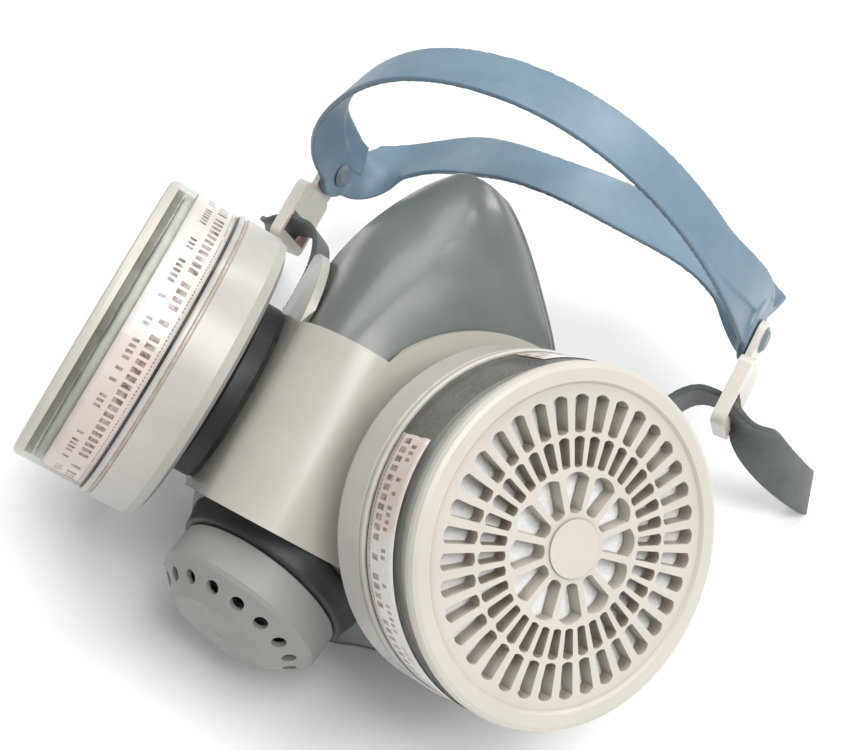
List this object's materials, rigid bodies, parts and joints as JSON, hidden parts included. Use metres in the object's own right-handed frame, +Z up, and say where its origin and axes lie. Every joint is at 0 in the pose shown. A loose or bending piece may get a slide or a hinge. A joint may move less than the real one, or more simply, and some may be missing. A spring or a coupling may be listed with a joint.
{
  "type": "half mask respirator",
  "caption": "Half-mask respirator with round screw-on cartridges in clear housings, slotted front covers, chin exhalation valve, side straps and a two-band blue head cradle.",
  "frame": {"origin": "bottom centre of the bounding box of the mask at rest: on the resting surface, midway left to right and midway front to back", "axes": "+Z up from the resting surface; +X towards the wearer's left, which is the symmetry direction; +Y towards the head cradle. The mask lies leaned back 60 degrees about X from its worn position, on its chin rim and its two strap tails"},
  "size_m": [0.2294, 0.2092, 0.1336],
  "materials": {
    "face_rubber": "satin",
    "yoke_plastic": "satin",
    "black_rubber": "matte",
    "valve_plastic": "matte",
    "valve_rubber": "satin",
    "cartridge_body": "satin",
    "clear_window": "gloss",
    "label_film": "matte",
    "grille": "satin",
    "filter_pad": "matte",
    "screen": "matte",
    "charcoal": "matte",
    "strap_rubber": "matte",
    "buckle_plastic": "satin",
    "stud": "satin",
    "cradle_blue": "satin"
  },
  "bodies": {
    "mask_body": {"facepiece_cup": "face_rubber", "front_yoke": "yoke_plastic", "chin_collar": "black_rubber", "valve_seat": "valve_plastic", "inhalation_seat_left": "yoke_plastic", "port_gasket_left": "black_rubber", "strap_anchor_left": "stud", "inhalation_seat_right": "yoke_plastic", "port_gasket_right": "black_rubber", "strap_anchor_right": "stud"},
    "washer_left": {"sealing_washer_left": "black_rubber"},
    "cartridge_left": {"cartridge_base_left": "cartridge_body", "cartridge_window_left": "clear_window", "cartridge_label_left": "label_film", "prefilter_pad_left": "filter_pad", "pad_screen_left": "screen", "charcoal_bed_left": "charcoal", "rear_screen_left": "screen"},
    "grille_left": {"front_grille_left": "grille"},
    "inhalation_flap_left": {"inhalation_flap_left": "valve_rubber"},
    "strap_left": {"strap_left": "strap_rubber", "buckle_left": "buckle_plastic", "snap_stud_left": "stud"},
    "washer_right": {"sealing_washer_right": "black_rubber"},
    "cartridge_right": {"cartridge_base_right": "cartridge_body", "cartridge_window_right": "clear_window", "cartridge_label_right": "label_film", "prefilter_pad_right": "filter_pad", "pad_screen_right": "screen", "charcoal_bed_right": "charcoal", "rear_screen_right": "screen"},
    "grille_right": {"front_grille_right": "grille"},
    "inhalation_flap_right": {"inhalation_flap_right": "valve_rubber"},
    "strap_right": {"strap_right": "strap_rubber", "buckle_right": "buckle_plastic", "snap_stud_right": "stud"},
    "exhalation_flap": {"exhalation_flap": "valve_rubber"},
    "valve_cover": {"valve_cover": "valve_plastic"},
    "cradle": {"head_cradle": "cradle_blue"}
  },
  "joints": [
    {"name": "washer_slide_left", "type": "slide", "parent": "mask_body", "child": "washer_left", "axis": [0.7955, -0.303, 0.5248], "range_m": [0, 0.006]},
    {"name": "cartridge_turn_left", "type": "hinge", "parent": "washer_left", "child": "cartridge_left", "pos_m": [0.04844, -0.04417, 0.05775], "axis": [0.7955, -0.303, 0.5248], "range_deg": [0, 540]},
    {"name": "grille_pull_left", "type": "slide", "parent": "cartridge_left", "child": "grille_left", "axis": [0.7955, -0.303, 0.5248], "range_m": [0, 0.012]},
    {"name": "inhalation_flap_lift_left", "type": "slide", "parent": "mask_body", "child": "inhalation_flap_left", "axis": [-0.7955, 0.303, -0.5248], "range_m": [0, 0.0015], "stiffness_N_per_m": 20, "springref_m": -0.0005},
    {"name": "strap_swing_left", "type": "hinge", "parent": "mask_body", "child": "strap_left", "pos_m": [0.058, -0.02205, 0.02943], "axis": [1, 0, 0], "range_deg": [-10, 10]},
    {"name": "washer_slide_right", "type": "slide", "parent": "mask_body", "child": "washer_right", "axis": [-0.7955, -0.303, 0.5248], "range_m": [0, 0.006]},
    {"name": "cartridge_turn_right", "type": "hinge", "parent": "washer_right", "child": "cartridge_right", "pos_m": [-0.04844, -0.04417, 0.05775], "axis": [-0.7955, -0.303, 0.5248], "range_deg": [0, 540]},
    {"name": "grille_pull_right", "type": "slide", "parent": "cartridge_right", "child": "grille_right", "axis": [-0.7955, -0.303, 0.5248], "range_m": [0, 0.012]},
    {"name": "inhalation_flap_lift_right", "type": "slide", "parent": "mask_body", "child": "inhalation_flap_right", "axis": [0.7955, 0.303, -0.5248], "range_m": [0, 0.0015], "stiffness_N_per_m": 20, "springref_m": -0.0005},
    {"name": "strap_swing_right", "type": "hinge", "parent": "mask_body", "child": "strap_right", "pos_m": [-0.058, -0.02205, 0.02943], "axis": [1, 0, 0], "range_deg": [-10, 10]},
    {"name": "exhalation_flap_lift", "type": "slide", "parent": "mask_body", "child": "exhalation_flap", "axis": [0, -0.9877, -0.1564], "range_m": [0, 0.0015], "stiffness_N_per_m": 20, "springref_m": -0.0005},
    {"name": "valve_cover_pull", "type": "slide", "parent": "mask_body", "child": "valve_cover", "axis": [0, -0.9877, -0.1564], "range_m": [0, 0.014]},
    {"name": "cradle_tilt", "type": "hinge", "parent": "strap_left", "child": "cradle", "pos_m": [0.08, 0.06496, 0.05472], "axis": [1, 0, 0], "range_deg": [-35, 25]}
  ],
  "couplings": [
    {"joint": "strap_swing_right", "follows": "strap_swing_left", "ratio": 1},
    {"joint": "washer_slide_left", "follows": "cartridge_turn_left", "m_per_rad": 0.00063662},
    {"joint": "washer_slide_right", "follows": "cartridge_turn_right", "m_per_rad": 0.00063662}
  ]
}
